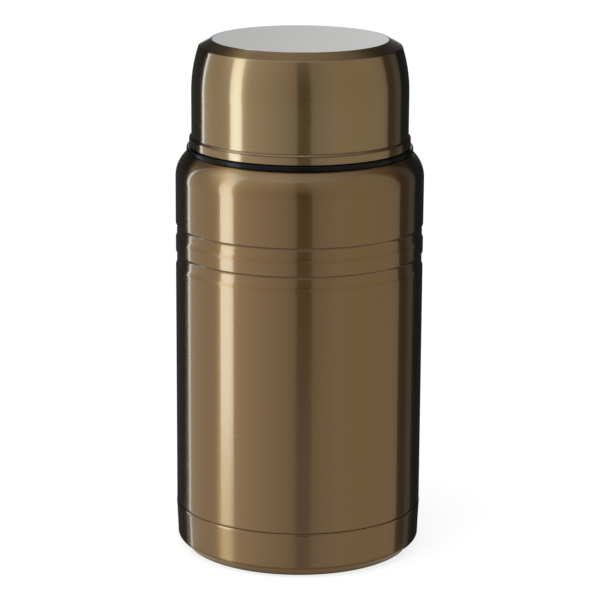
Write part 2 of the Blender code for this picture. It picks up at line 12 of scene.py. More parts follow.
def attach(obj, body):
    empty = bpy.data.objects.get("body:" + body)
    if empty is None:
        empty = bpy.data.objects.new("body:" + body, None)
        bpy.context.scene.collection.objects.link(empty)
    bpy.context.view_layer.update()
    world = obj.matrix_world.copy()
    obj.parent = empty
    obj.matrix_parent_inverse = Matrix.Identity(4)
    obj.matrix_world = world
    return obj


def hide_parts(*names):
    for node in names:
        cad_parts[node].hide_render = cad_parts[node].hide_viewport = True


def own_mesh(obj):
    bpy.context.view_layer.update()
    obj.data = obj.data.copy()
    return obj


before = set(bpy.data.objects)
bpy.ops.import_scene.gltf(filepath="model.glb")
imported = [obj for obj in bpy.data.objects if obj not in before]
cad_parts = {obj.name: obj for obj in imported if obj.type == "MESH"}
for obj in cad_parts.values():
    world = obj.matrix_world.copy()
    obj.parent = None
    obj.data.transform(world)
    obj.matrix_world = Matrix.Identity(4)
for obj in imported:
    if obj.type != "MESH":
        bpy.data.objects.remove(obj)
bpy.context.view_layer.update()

MM = 0.001

# Steps round a turned piece: large, middling and small
ROUND = 192
MIDDLE_ROUND = 96
SMALL_ROUND = 64

# Points nearer than this, in millimetres, are one point of a drawn profile
SAME_POINT = 0.002

# Thread of cup and stopper: starts, degrees that a lug spans, millimetres that a turn climbs
LUGS = 4
LUG_SPAN = 60
LEAD = 16


# Modelling

def arc(radius_at, height_at, size, start, end, steps):
    """Points of a round in the profile's plane, from one angle to another in degrees."""
    angles = [math.radians(start + (end - start) * i / steps) for i in range(steps + 1)]
    return [(radius_at + size * math.cos(a), height_at + size * math.sin(a)) for a in angles]


def lifted(profile, height):
    """Profile moved up."""
    return [(r, z + height) for r, z in profile]


def draw(name, profile, closed=False):
    """Wire drawn from point to point in the XZ plane."""
    bpy.ops.object.select_all(action="DESELECT")
    bpy.ops.mesh.primitive_plane_add(size=MM)
    wire = bpy.context.object
    wire.name = wire.data.name = name
    bpy.ops.object.mode_set(mode="EDIT")
    bpy.ops.mesh.merge(type="CENTER")
    points = [Vector((r, 0, z)) * MM for r, z in profile]
    if closed:
        points.append(points[0])
    bpy.ops.transform.translate(value=tuple(points[0]))
    for here, there in zip(points, points[1:]):
        bpy.ops.mesh.extrude_vertices_move(TRANSFORM_OT_translate={"value": tuple(there - here)})
    bpy.ops.mesh.select_all(action="SELECT")
    bpy.ops.mesh.remove_doubles(threshold=SAME_POINT * MM)
    bpy.ops.object.mode_set(mode="OBJECT")
    return wire


def use(piece, kind, **settings):
    """Adds a modifier and applies it."""
    modifier = piece.modifiers.new(kind.title(), kind)
    for name, value in settings.items():
        setattr(modifier, name, value)
    bpy.context.view_layer.objects.active = piece
    bpy.ops.object.modifier_apply(modifier=modifier.name)


def ease(piece, width, segments=2, angle=38):
    """Breaks the sharp edges by a small round."""
    use(
        piece,
        "BEVEL",
        width=width * MM,
        segments=segments,
        limit_method="ANGLE",
        angle_limit=math.radians(angle),
        use_clamp_overlap=True,
    )


def weld(piece, gap=0.004):
    """Merges points that all but touch."""
    bpy.ops.object.select_all(action="DESELECT")
    piece.select_set(True)
    bpy.context.view_layer.objects.active = piece
    bpy.ops.object.mode_set(mode="EDIT")
    bpy.ops.mesh.select_all(action="SELECT")
    bpy.ops.mesh.remove_doubles(threshold=gap * MM)
    bpy.ops.object.mode_set(mode="OBJECT")


def smooth(piece, angle=30):
    """Smooth shading that keeps the flats flat beside their small rounds."""
    weld(piece)
    bpy.ops.object.shade_smooth_by_angle(angle=math.radians(angle))
    use(piece, "WEIGHTED_NORMAL", keep_sharp=True)


def turned(name, profile, closed=False, sheet=0.0, edge=0.15, steps=ROUND, flanged=False):
    """Profile spun once round Z; sheet gives an open one its wall, inwards from the drawn side.

    A flange at the far end would be taken for the outside, so a flanged profile is turned over.
    """
    piece = draw(name, profile, closed)
    bpy.ops.object.mode_set(mode="EDIT")
    bpy.ops.mesh.select_all(action="SELECT")
    bpy.ops.mesh.spin(steps=steps, angle=math.tau, center=(0, 0, 0), axis=(0, 0, 1))
    bpy.ops.mesh.select_all(action="SELECT")
    bpy.ops.mesh.remove_doubles(threshold=SAME_POINT * MM)
    bpy.ops.mesh.normals_make_consistent(inside=flanged)
    bpy.ops.object.mode_set(mode="OBJECT")
    if sheet:
        use(piece, "SOLIDIFY", thickness=sheet * MM, offset=-1, use_even_offset=True)
    if edge:
        ease(piece, edge)
    smooth(piece)
    return piece


def copy_round(count):
    """In edit mode, repeats all of the mesh round Z."""
    bpy.ops.mesh.select_all(action="SELECT")
    for _ in range(count - 1):
        bpy.ops.mesh.duplicate()
        bpy.ops.transform.rotate(value=math.tau / count, orient_axis="Z", center_override=(0, 0, 0))


def combine(piece, tool, operation):
    """Boolean with a helper that is then thrown away."""
    use(piece, "BOOLEAN", operation=operation, solver="EXACT", object=tool)
    bpy.data.objects.remove(tool)


def add_lugs(piece, wall, outward, height):
    """Right-hand thread lugs, rooted in a wall and 0.9 mm proud of it; height is where they start."""
    side = 1 if outward else -1
    root, crest = wall - 0.4 * side, wall + 0.9 * side
    section = [(root, -0.75), (crest, -0.45), (crest, 0.45), (root, 0.75)]
    lug = draw("lug", lifted(section, height), closed=True)
    climb = LEAD * LUG_SPAN / 360 * MM
    use(lug, "SCREW", axis="Z", angle=math.radians(LUG_SPAN), screw_offset=climb, steps=20, render_steps=20)
    bpy.ops.object.mode_set(mode="EDIT")
    bpy.ops.mesh.select_all(action="SELECT")
    bpy.ops.mesh.fill_holes(sides=4)
    bpy.ops.mesh.normals_make_consistent(inside=False)
    bpy.ops.object.mode_set(mode="OBJECT")
    ease(lug, 0.3, angle=50)
    bpy.ops.object.mode_set(mode="EDIT")
    copy_round(LUGS)
    bpy.ops.object.mode_set(mode="OBJECT")
    combine(piece, lug, "UNION")
    smooth(piece)


def stand_for(piece, node, body, material):
    """The piece takes the place of a CAD node on its body, in its finish."""
    piece.data.materials.clear()
    piece.data.materials.append(material)
    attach(piece, body)
    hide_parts(node)


# Materials

# Sockets of a Mix node that mixes colours
FACTOR, FIRST, SECOND, MIXED = 0, 6, 7, 2


def colour(code):
    """Linear RGBA of an sRGB hex colour."""
    channels = [int(code[i : i + 2], 16) / 255 for i in (1, 3, 5)]
    return tuple(c / 12.92 if c <= 0.04045 else ((c + 0.055) / 1.055) ** 2.4 for c in channels) + (1.0,)


def add_node(tree, kind, inputs=None, **settings):
    """A node with its settings; an input is a value or the socket that feeds it."""
    node = tree.nodes.new(kind)
    for name, value in settings.items():
        setattr(node, name, value)
    for socket, value in (inputs or {}).items():
        if isinstance(value, bpy.types.NodeSocket):
            tree.links.new(value, node.inputs[socket])
        else:
            node.inputs[socket].default_value = value
    return node


def new_material(name):
    material = bpy.data.materials.new(name)
    material.use_nodes = True
    material.node_tree.nodes.clear()
    return material, material.node_tree


def finish_material(tree, inputs):
    shader = add_node(tree, "ShaderNodeBsdfPrincipled", inputs)
    add_node(tree, "ShaderNodeOutputMaterial", {"Surface": shader.outputs["BSDF"]})


def bronze_lacquer(name, dark, light, bends, crease_shade, spun, painted_light_tone):
    """Clear bronze lacquer over steel brushed round the axis: glints drawn out up and down, under a gloss.

    At the tight bends, whose heights are given, a thin darker, redder line is painted on: painted shade and
    dark reflection in the crease. From the height spun upwards the sheet is bent and was only rubbed down, so
    it mirrors more softly, and its colour is painted paler there: painted light that brightens the shoulder.
    """
    material, tree = new_material(name)
    place = add_node(tree, "ShaderNodeTexCoord")
    # Brush lines are about 0.05 mm apart; they are drawn at 0.35 mm and 30 mm long so that they show,
    # which is 2850 and 33 to the metre
    stretch = add_node(
        tree, "ShaderNodeMapping", {"Vector": place.outputs["Object"], "Scale": (33, 33, 2850)}
    )
    brush = add_node(
        tree,
        "ShaderNodeTexNoise",
        {"Vector": stretch.outputs["Vector"], "Scale": 1.0, "Detail": 4.0, "Roughness": 0.65},
    )
    tone = add_node(
        tree,
        "ShaderNodeMix",
        {FACTOR: brush.outputs["Fac"], FIRST: colour(dark), SECOND: colour(light)},
        data_type="RGBA",
    )
    up = add_node(tree, "ShaderNodeSeparateXYZ", {0: place.outputs["Object"]})
    # Painted shade: a darker, redder line at each tight bend, standing for the shade and dark reflection in
    # the crease
    crease_shade_mask = None
    for height in bends:
        above = add_node(tree, "ShaderNodeMath", {0: up.outputs["Z"], 1: height * MM}, operation="SUBTRACT")
        away = add_node(tree, "ShaderNodeMath", {0: above.outputs[0]}, operation="ABSOLUTE")
        near = {"Value": away.outputs[0], "From Min": 0.1 * MM, "From Max": 0.34 * MM}
        line = add_node(tree, "ShaderNodeMapRange", {**near, "To Min": 0.9, "To Max": 0.0})
        if crease_shade_mask:
            line = add_node(
                tree, "ShaderNodeMath", {0: crease_shade_mask.outputs[0], 1: line.outputs[0]}, operation="MAXIMUM"
            )
        crease_shade_mask = line
    bent = {"Value": up.outputs["Z"], "From Min": spun * MM, "From Max": (spun + 6) * MM}
    # Painted light: above the spun height the colour is painted paler, so that the shoulder shows brighter
    painted_light_share = add_node(tree, "ShaderNodeMapRange", {**bent, "To Min": 0.0, "To Max": 0.35})
    paler = add_node(
        tree,
        "ShaderNodeMix",
        {FACTOR: painted_light_share.outputs["Result"], FIRST: tone.outputs[MIXED], SECOND: colour(painted_light_tone)},
        data_type="RGBA",
    )
    # The painted crease shade is mixed into the lacquer's colour here
    tint = add_node(
        tree,
        "ShaderNodeMix",
        {FACTOR: crease_shade_mask.outputs[0], FIRST: paler.outputs[MIXED], SECOND: colour(crease_shade)},
        data_type="RGBA",
    )
    rough = add_node(
        tree,
        "ShaderNodeMapRange",
        {"Value": brush.outputs["Fac"], "From Min": 0.3, "From Max": 0.7, "To Min": 0.26, "To Max": 0.34},
    )
    relief = add_node(
        tree, "ShaderNodeBump", {"Height": brush.outputs["Fac"], "Strength": 0.25, "Distance": 0.01 * MM}
    )
    along = add_node(tree, "ShaderNodeTangent", direction_type="RADIAL", axis="Z")
    matt = add_node(tree, "ShaderNodeMapRange", {**bent, "To Min": 0.0, "To Max": 0.07})
    duller = add_node(
        tree, "ShaderNodeMath", {0: rough.outputs["Result"], 1: matt.outputs["Result"]}, operation="ADD"
    )
    finish_material(
        tree,
        {
            "Base Color": tint.outputs[MIXED],
            "Metallic": 1.0,
            "Roughness": duller.outputs[0],
            "Normal": relief.outputs["Normal"],
            "Tangent": along.outputs["Tangent"],
            "Anisotropic": 1.0,
            "Anisotropic Rotation": 0.25,
            "Coat Weight": 1.0,
            "Coat Roughness": 0.05,
            "Coat IOR": 1.5,
        },
    )
    return material


def turned_steel(name, low, high, metallic):
    """Bare stainless steel with a fine turned finish: neutral grey, soft glints across the rings."""
    material, tree = new_material(name)
    place = add_node(tree, "ShaderNodeTexCoord")
    flat = add_node(
        tree, "ShaderNodeVectorMath", {0: place.outputs["Object"], 1: (1, 1, 0)}, operation="MULTIPLY"
    )
    out = add_node(tree, "ShaderNodeVectorMath", {0: flat.outputs[0]}, operation="LENGTH")
    up = add_node(tree, "ShaderNodeSeparateXYZ", {0: place.outputs["Object"]})
    # Tool rings are about 0.1 mm apart; they are drawn at 0.4 mm so that they show
    rings_per_metre = 1 / (0.4 * MM)
    across = add_node(
        tree, "ShaderNodeMath", {0: out.outputs["Value"], 1: rings_per_metre}, operation="MULTIPLY"
    )
    rise = add_node(tree, "ShaderNodeMath", {0: up.outputs["Z"], 1: rings_per_metre}, operation="MULTIPLY")
    rings = add_node(tree, "ShaderNodeCombineXYZ", {0: across.outputs[0], 1: rise.outputs[0]})
    brush = add_node(
        tree,
        "ShaderNodeTexNoise",
        {"Vector": rings.outputs[0], "Scale": 1.0, "Detail": 3.0, "Roughness": 0.6},
    )
    tone = add_node(
        tree,
        "ShaderNodeMix",
        {FACTOR: brush.outputs["Fac"], FIRST: colour("#BFBEBC"), SECOND: colour("#CBCAC8")},
        data_type="RGBA",
    )
    rough = add_node(
        tree,
        "ShaderNodeMapRange",
        {"Value": brush.outputs["Fac"], "From Min": 0.3, "From Max": 0.7, "To Min": low, "To Max": high},
    )
    along = add_node(tree, "ShaderNodeTangent", direction_type="RADIAL", axis="Z")
    finish_material(
        tree,
        {
            "Base Color": tone.outputs[MIXED],
            "Metallic": metallic,
            "Roughness": rough.outputs["Result"],
            "Tangent": along.outputs["Tangent"],
            "Anisotropic": 0.5,
            "Anisotropic Rotation": 0.25,
        },
    )
    return material


def grained(name, light, dark, size, low, high, depth, extra):
    """Finish with a fine grain: two tones, the grain's size, a range of roughness and the relief's depth.

    Size and depth are in millimetres.
    """
    material, tree = new_material(name)
    place = add_node(tree, "ShaderNodeTexCoord")
    grain = add_node(
        tree,
        "ShaderNodeTexNoise",
        {"Vector": place.outputs["Object"], "Scale": 1 / (size * MM), "Detail": 3.0, "Roughness": 0.6},
    )
    tone = add_node(
        tree,
        "ShaderNodeMix",
        {FACTOR: grain.outputs["Fac"], FIRST: colour(dark), SECOND: colour(light)},
        data_type="RGBA",
    )
    rough = add_node(
        tree,
        "ShaderNodeMapRange",
        {"Value": grain.outputs["Fac"], "From Min": 0.3, "From Max": 0.7, "To Min": low, "To Max": high},
    )
    relief = add_node(
        tree, "ShaderNodeBump", {"Height": grain.outputs["Fac"], "Strength": 0.4, "Distance": depth * MM}
    )
    finish_material(
        tree,
        {
            "Base Color": tone.outputs[MIXED],
            "Roughness": rough.outputs["Result"],
            "Normal": relief.outputs["Normal"],
            **extra,
        },
    )
    return material


BODY_LACQUER = bronze_lacquer(
    "bronze lacquer on brushed steel",
    dark="#7B5D34",
    light="#876639",
    bends=(134.8, 123.5),
    # Painted shade and reflection in the folds of the grooves
    crease_shade="#634324",
    spun=154.5,
    # Painted light: paler tone on the shoulder
    painted_light_tone="#93784F",
)
CUP_LACQUER = bronze_lacquer(
    "pale bronze lacquer on brushed steel",
    dark="#856C45",
    light="#93784F",
    bends=(170.47, 169.72),
    # Painted shade and reflection in the two bends of the cup's step
    crease_shade="#4E2C0A",
    spun=206.5,
    # Painted light: tone above the crown's start
    painted_light_tone="#8C724A",
)
STEEL = turned_steel("bare turned stainless steel", 0.26, 0.36, 1.0)
# The disc is also finely blasted, and its pits scatter a part of the light like a pale matt surface
DISC_STEEL = turned_steel("fine turned and blasted stainless steel", 0.12, 0.17, 0.75)
# Injection moulded, polished tool: deep black with clear, slightly wavy highlights
BLACK = grained(
    "black moulded polypropylene",
    light="#0F0F10",
    dark="#0B0B0B",
    size=1.2,
    low=0.16,
    high=0.24,
    depth=0.004,
    extra={"IOR": 1.49, "Specular IOR Level": 0.13},
)
# Moulded silicone rubber: soft grey, dull sheen, a little light passing into it
SILICONE = grained(
    "grey silicone rubber",
    light="#979998",
    dark="#858786",
    size=0.9,
    low=0.5,
    high=0.62,
    depth=0.01,
    extra={"IOR": 1.41, "Subsurface Weight": 0.08},
)
# Expanded foam: white beads that press on each other
FOAM = grained("white expanded foam", "#EDEAE4", "#D6D2CA", 2.4, 0.8, 0.95, 0.25, {"IOR": 1.3})
# Rolled foil: bright, slightly crumpled where it was wrapped
FOIL = grained("bright metal foil", "#D6D5D2", "#C8C7C4", 6.0, 0.14, 0.24, 0.12, {"Metallic": 1.0})
# Pressed metal powder: dark, granular and dull
GETTER = grained("sintered getter metal", "#565553", "#403F3D", 0.35, 0.7, 0.88, 0.04, {"Metallic": 0.6})
# Solder glass that melted into the port: dark green and shiny
GLASS_SEAL = grained("sealing glass", "#3F4D45", "#333F39", 0.8, 0.1, 0.2, 0.01, {"IOR": 1.56})
# Cold-drawn spring wire: grey with draw marks
WIRE = grained("drawn spring wire", "#A3A3A1", "#8F8F8D", 0.5, 0.28, 0.42, 0.004, {"Metallic": 1.0})


# Flask

SHEET = 0.6
BODY_RADIUS = 50
BODY_TOP = 163.4
RIM = 175.467
SEAM_TOP = 18.6
SPIGOT_RADIUS = 48.6
NECK_RADIUS = 38.13
COLLAR_RADIUS = 39.93
COLLAR_BORE = 38.43
INNER_NECK_RADIUS = 37.23
MOUTH_RADIUS = 36.63
LEDGE = 163.6
VESSEL_RADIUS = 45.1


def groove(edge):
    """Rolled groove under a height: a tight fold, half a millimetre in, a flat floor and a softer rise."""
    fold = [(BODY_RADIUS, 0), (49.97, -0.12), (49.86, -0.35), (49.72, -0.62), (49.61, -0.9), (49.55, -1.25)]
    flat = [(49.53, -1.7), (49.53, -4.6)]
    rise = [(49.56, -5), (49.66, -5.4), (49.83, -5.85), (49.95, -6.2), (49.99, -6.4), (BODY_RADIUS, -6.6)]
    return lifted(fold + flat + rise, edge)


body_tube = turned(
    "body_tube",
    [
        (NECK_RADIUS, RIM - 0.9),
        (NECK_RADIUS, BODY_TOP),
        (44.4, BODY_TOP),
        *arc(37.4, 153.67, 12.6, 53.3, 0, 26),
        (BODY_RADIUS, 141),
        *groove(135.1),
        *groove(123.8),
        (BODY_RADIUS, 110),
        (BODY_RADIUS, 70),
        (BODY_RADIUS, 40),
        (BODY_RADIUS, 19.6),
        (49.98, 19.2),
        (49.91, 18.87),
        (49.79, 18.68),
        (49.62, SEAM_TOP),
        (SPIGOT_RADIUS, SEAM_TOP),
        (SPIGOT_RADIUS, 5),
    ],
    sheet=SHEET,
)
stand_for(body_tube, "outer_shell", "flask", BODY_LACQUER)

base_band = turned(
    "base_band",
    [
        (49.6, 18.46),
        (49.8, 18.42),
        (49.97, 18.26),
        (50.07, 17.98),
        (50.1, 17.6),
        (49.8, 11.3),
        *arc(47.534, 4.661, 2, -2.35, -45, 8),
        *arc(45.493, 0.5, 0.5, -45, -90, 6),
        (40.8, 0),
        (38.8, 2),
        (20, 2),
        (0, 2),
    ],
    sheet=SHEET,
)
stand_for(base_band, "base_cup", "flask", BODY_LACQUER)

collar = turned(
    "collar",
    [
        (COLLAR_RADIUS, RIM - 1),
        (COLLAR_RADIUS, 166.1),
        *arc(45, 165.6, 0.5, 90, 0, 6),
        *arc(44.8, 164.75, 0.7, 0, -90, 8),
        (44.1, 163.7),
        (COLLAR_BORE, 163.7),
        (COLLAR_BORE, RIM - 1),
    ],
    closed=True,
    edge=0.25,
)
add_lugs(collar, COLLAR_RADIUS, True, 170.65)
stand_for(collar, "neck_collar", "flask", BLACK)

vessel = turned(
    "vessel",
    [
        (NECK_RADIUS, RIM - 0.6),
        (INNER_NECK_RADIUS, RIM - 0.6),
        (INNER_NECK_RADIUS, LEDGE),
        (34.58, LEDGE),
        *arc(34.58, 147.98, 10.52, 90, 0, 16),
        (VESSEL_RADIUS, 80),
        (VESSEL_RADIUS, 14.9),
    ],
    sheet=SHEET,
    flanged=True,
)
add_lugs(vessel, MOUTH_RADIUS, False, 170.05)
stand_for(vessel, "inner_vessel", "flask", STEEL)

vessel_dish = turned(
    "vessel_dish",
    [(46, 20.1), *arc(43.5, 14.6, 2.5, 0, -90, 8), (20, 12.1), (0, 12.1)],
    sheet=SHEET,
)
stand_for(vessel_dish, "inner_bottom", "flask", STEEL)

closing_plate = turned("closing_plate", [(1, 6.5), (20, 6.5), (47.7, 6.5), (47.7, 4)], sheet=SHEET)
stand_for(closing_plate, "outer_bottom", "flask", STEEL)

port_seal = turned(
    "port_seal",
    [(0, 6.5), (0.7, 6.5), (0.7, 5.6), (2.5, 5.6), (2.5, 4.2), (0, 4.2)],
    edge=0.3,
    steps=SMALL_ROUND,
)
stand_for(port_seal, "vacuum_seal", "flask", GLASS_SEAL)

absorber_clip = turned(
    "absorber_clip",
    [(6.2, 8.2), (6.2, 6.8), (0, 6.8)],
    sheet=0.3,
    edge=0.1,
    steps=SMALL_ROUND,
)
absorber = turned(
    "absorber",
    [(0, 9.4), (5.6, 9.4), (5.6, 7.4), (0, 7.4)],
    edge=0.3,
    steps=SMALL_ROUND,
)
absorber_offset = 22 * MM
for disc in (absorber_clip, absorber):
    disc.data.transform(Matrix.Translation((absorber_offset, 0, 0)))
stand_for(absorber_clip, "getter_clip", "flask", STEEL)
stand_for(absorber, "getter", "flask", GETTER)

foil = turned("foil", [(45.6, 147.98), (45.6, 20.4)], sheet=0.2, edge=0)
stand_for(foil, "foil_wrap", "flask", FOIL)


# Cup lid

CUP_EDGE = 166.4
CUP_TOP = 209.1
CUP_RADIUS = 43.58
BAND_RADIUS = 44.45
BARREL_RADIUS = 58.5
BARREL_MIDDLE = Vector((-14.92, 188))
CROWN_RADIUS = 35.556
CROWN_NORMAL = 61
CROWN_CORNER = 0.9
DISC_RADIUS = 35.26
RECESS = CUP_TOP - 0.9
LINER_TOP = CUP_TOP - 1.8
LINER_CEILING = CUP_TOP - 3.3
LINER_BORE = 41.18


def crown(inset, top):
    """Cup's wall moved in by inset, from a cut at the top: a straight slope, a tight corner, then the barrel.

    The slope's normal stands CROWN_NORMAL degrees above the level, and the corner touches slope and barrel.
    """
    normal = math.radians(CROWN_NORMAL)
    out = Vector((math.cos(normal), math.sin(normal)))
    down = Vector((math.sin(normal), -math.cos(normal)))
    start = Vector((CROWN_RADIUS, CUP_TOP)) - out * (inset + CROWN_CORNER)
    reach = start - BARREL_MIDDLE
    along = -reach.dot(down)
    along += math.sqrt(along**2 - reach.length_squared + (BARREL_RADIUS - inset - CROWN_CORNER) ** 2)
    middle = start + down * along
    turn = math.degrees(math.atan2(middle.y - BARREL_MIDDLE.y, middle.x - BARREL_MIDDLE.x))
    return [
        (CROWN_RADIUS - (inset + (top - CUP_TOP) * out.y) / out.x, top),
        *arc(middle.x, middle.y, CROWN_CORNER, CROWN_NORMAL, turn, 8),
        *arc(BARREL_MIDDLE.x, BARREL_MIDDLE.y, BARREL_RADIUS - inset, turn, 0, 20)[1:],
    ]


cup = turned(
    "cup",
    [
        (0, RECESS),
        (20, RECESS),
        (35.56, RECESS),
        *crown(0, CUP_TOP),
        (CUP_RADIUS, 178),
        (CUP_RADIUS, 170.9),
        (43.61, 170.65),
        (43.74, 170.4),
        (44.05, 170.1),
        (44.3, 169.85),
        (44.41, 169.6),
        (BAND_RADIUS, 169.25),
        (BAND_RADIUS, CUP_EDGE + 0.12),
    ],
    sheet=SHEET,
    edge=0.12,
)
stand_for(cup, "cup_shell", "cup", CUP_LACQUER)

cup_disc = turned(
    "cup_disc",
    [
        (0, CUP_TOP),
        (20, CUP_TOP),
        (DISC_RADIUS, CUP_TOP),
        (DISC_RADIUS, CUP_TOP - SHEET),
        (0, CUP_TOP - SHEET),
    ],
    edge=0.1,
)
stand_for(cup_disc, "cup_top_disc", "cup", DISC_STEEL)

liner = turned(
    "liner",
    [
        (0, LINER_TOP),
        (20, LINER_TOP),
        *crown(0.9, LINER_TOP),
        (42.68, CUP_EDGE + 2.8),
        (43.55, CUP_EDGE + 2.8),
        (43.55, CUP_EDGE + 1.2),
        (LINER_BORE, CUP_EDGE + 1.2),
        *reversed(crown(2.4, LINER_CEILING)),
        (20, LINER_CEILING),
        (0, LINER_CEILING),
    ],
)
add_lugs(liner, LINER_BORE, False, CUP_EDGE + 2.25)
stand_for(liner, "cup_liner", "cup", BLACK)

cup_ring = turned(
    "cup_ring",
    [(41.48, CUP_EDGE + 0.9), (43.25, CUP_EDGE + 0.9), (43.25, CUP_EDGE), (41.48, CUP_EDGE)],
    closed=True,
    edge=0.2,
)
stand_for(cup_ring, "cup_gasket", "cup_seal", SILICONE)


# Stopper, with heights from the flask's rim

PLUG_RADIUS = 35.38
NOSE_RADIUS = 33.48
NOSE_FLOOR = -13.567
FLUTES = 12
FLUTE_RADIUS = 4
FLUTE_AXIS = 40.53
COILS = 7
COIL_RADIUS = 3.65
WIRE_RADIUS = 0.45
SPRING_RISE = 15.167

plug = turned(
    "plug",
    lifted(
        [
            (PLUG_RADIUS, 0),
            (PLUG_RADIUS, -8.467),
            (NOSE_RADIUS, -8.467),
            (NOSE_RADIUS, -13.967),
            (31.88, -15.567),
            (2.6, -15.567),
            (2.6, NOSE_FLOOR),
            (5.3, NOSE_FLOOR),
            (5.3, -0.4),
            (7, -0.4),
            (7, NOSE_FLOOR),
            (31.68, NOSE_FLOOR),
            (31.68, 0),
        ],
        RIM,
    ),
    closed=True,
    edge=0.25,
)
add_lugs(plug, PLUG_RADIUS, True, RIM - 7.417)
stand_for(plug, "stopper_body", "stopper", BLACK)

grip = turned(
    "grip",
    lifted(
        [
            (8.6, 7),
            (36.33, 7),
            (37.53, 5.8),
            (37.53, 0.3),
            (31.38, 0.3),
            (31.38, -1),
            (29.58, -1),
            (29.58, 5),
            (8.6, 5),
        ],
        RIM,
    ),
    closed=True,
    edge=0,
)
half_step = math.pi / FLUTES
flute_at = Vector((FLUTE_AXIS * math.cos(half_step), FLUTE_AXIS * math.sin(half_step), RIM + 3.5)) * MM
bpy.ops.object.select_all(action="DESELECT")
bpy.ops.mesh.primitive_cylinder_add(vertices=48, radius=FLUTE_RADIUS * MM, depth=16 * MM)
flutes = bpy.context.object
bpy.ops.object.mode_set(mode="EDIT")
bpy.ops.transform.translate(value=tuple(flute_at))
copy_round(FLUTES)
bpy.ops.object.mode_set(mode="OBJECT")
combine(grip, flutes, "DIFFERENCE")
weld(grip, 0.05)
ease(grip, 0.2, segments=3)
smooth(grip)
stand_for(grip, "stopper_cover", "stopper", BLACK)

plug_foam = turned(
    "plug_foam",
    lifted([(7.3, -1.3), (31.38, -1.3), (31.38, -13.267), (7.3, -13.267)], RIM),
    closed=True,
    edge=0.4,
)
stand_for(plug_foam, "stopper_foam", "stopper", FOAM)

plug_ring = turned(
    "plug_ring",
    lifted(
        [
            (33.78, -8.767),
            (34.98, -8.767),
            (PLUG_RADIUS, -9.167),
            (PLUG_RADIUS, -10.567),
            (34.98, -10.967),
            (33.78, -10.967),
        ],
        RIM,
    ),
    closed=True,
    edge=0.2,
)
stand_for(plug_ring, "stopper_gasket", "stopper_seal", SILICONE)

button = turned(
    "button",
    lifted(
        [
            (0, 8.2),
            (3, 8.23),
            (5.5, 8.35),
            (7.2, 8.5),
            (8.2, 8.5),
            (8.2, 4.7),
            (9.6, 4.7),
            (9.6, 3.1),
            (2.3, 3.1),
            (2.3, 5.7),
            (0, 5.7),
        ],
        RIM,
    ),
    edge=0.4,
    steps=MIDDLE_ROUND,
)
stand_for(button, "vent_button", "vent_valve", BLACK)

stem = turned(
    "stem",
    lifted([(0, 5.4), (2, 5.4), (2, -16.967), (5.6, -16.967), (5.6, -18.367), (0, -18.367)], RIM),
    edge=0.2,
    steps=SMALL_ROUND,
)
stand_for(stem, "vent_stem", "vent_valve", STEEL)

washer = turned(
    "washer",
    lifted([(2.3, -15.867), (5, -15.867), (5, -16.667), (2.3, -16.667)], RIM),
    closed=True,
    edge=0.15,
    steps=SMALL_ROUND,
)
stand_for(washer, "vent_seal", "vent_valve", SILICONE)

spring = draw("spring", arc(COIL_RADIUS, RIM - 12.817, WIRE_RADIUS, 0, 330, 11), closed=True)
use(
    spring,
    "SCREW",
    axis="Z",
    iterations=COILS,
    screw_offset=SPRING_RISE / COILS * MM,
    steps=32,
    render_steps=32,
)
bpy.ops.object.mode_set(mode="EDIT")
bpy.ops.mesh.select_all(action="SELECT")
bpy.ops.mesh.fill_holes(sides=12)
bpy.ops.mesh.normals_make_consistent(inside=False)
bpy.ops.object.mode_set(mode="OBJECT")
smooth(spring, 50)
stand_for(spring, "vent_spring", "stopper", WIRE)
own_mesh(spring)


# Studio: a pale floor, soft top light, and cards round the flask that the metal mirrors

card_material, card_tree = new_material("studio card")
card_shade = add_node(card_tree, "ShaderNodeAttribute", attribute_name="shade")
card_light = add_node(card_tree, "ShaderNodeEmission", {"Color": card_shade.outputs["Color"]})
add_node(card_tree, "ShaderNodeOutputMaterial", {"Surface": card_light.outputs["Emission"]})


def level(stops, place):
    """Level at a place between stops of (place, level)."""
    for (start, first), (end, last) in zip(stops, stops[1:]):
        if place <= end:
            return first + (last - first) * max(place - start, 0) / (end - start)
    return stops[-1][1]


def shaded_grid(name, tint, left, right):
    """Unit grid that glows by the levels along its left and right edges, and shows only in reflections."""
    bpy.ops.object.select_all(action="DESELECT")
    bpy.ops.mesh.primitive_grid_add(x_subdivisions=24, y_subdivisions=72, size=1)
    piece = bpy.context.object
    piece.name = piece.data.name = name
    first, last = left[0][0], left[-1][0]
    shade = piece.data.color_attributes.new("shade", "FLOAT_COLOR", "POINT")
    for vertex, tone in zip(piece.data.vertices, shade.data):
        share, place = vertex.co.x + 0.5, first + (last - first) * (vertex.co.y + 0.5)
        strength = level(left, place) * (1 - share) + level(right, place) * share
        tone.color = [strength * channel for channel in tint] + [1.0]
        vertex.co.y = place
    piece.data.materials.append(card_material)
    piece.visible_camera = piece.visible_diffuse = piece.visible_shadow = False
    return piece


def wall_card(name, left, right, left_levels, right_levels, tint=(1, 1, 1), away=1.6, lean=0.0):
    """Upright curved card between two bearings from the camera, in degrees to its right.

    Levels are given by height in metres; lean moves the head to the right, in degrees a metre above -0.3 m.
    """
    piece = shaded_grid(name, tint, left_levels, right_levels)
    for vertex in piece.data.vertices:
        share, height = vertex.co.x + 0.5, vertex.co.y
        bearing = math.radians(left + (right - left) * share + lean * (height + 0.3))
        vertex.co = (away * math.sin(bearing), -away * math.cos(bearing), height)


def flat_card(name, width, height, left_levels, right_levels):
    """Level card over or under the flask, with levels given by the distance behind the axis in metres."""
    piece = shaded_grid(name, (1, 1, 1), left_levels, right_levels)
    for vertex in piece.data.vertices:
        vertex.co = (vertex.co.x * width, vertex.co.y, height)


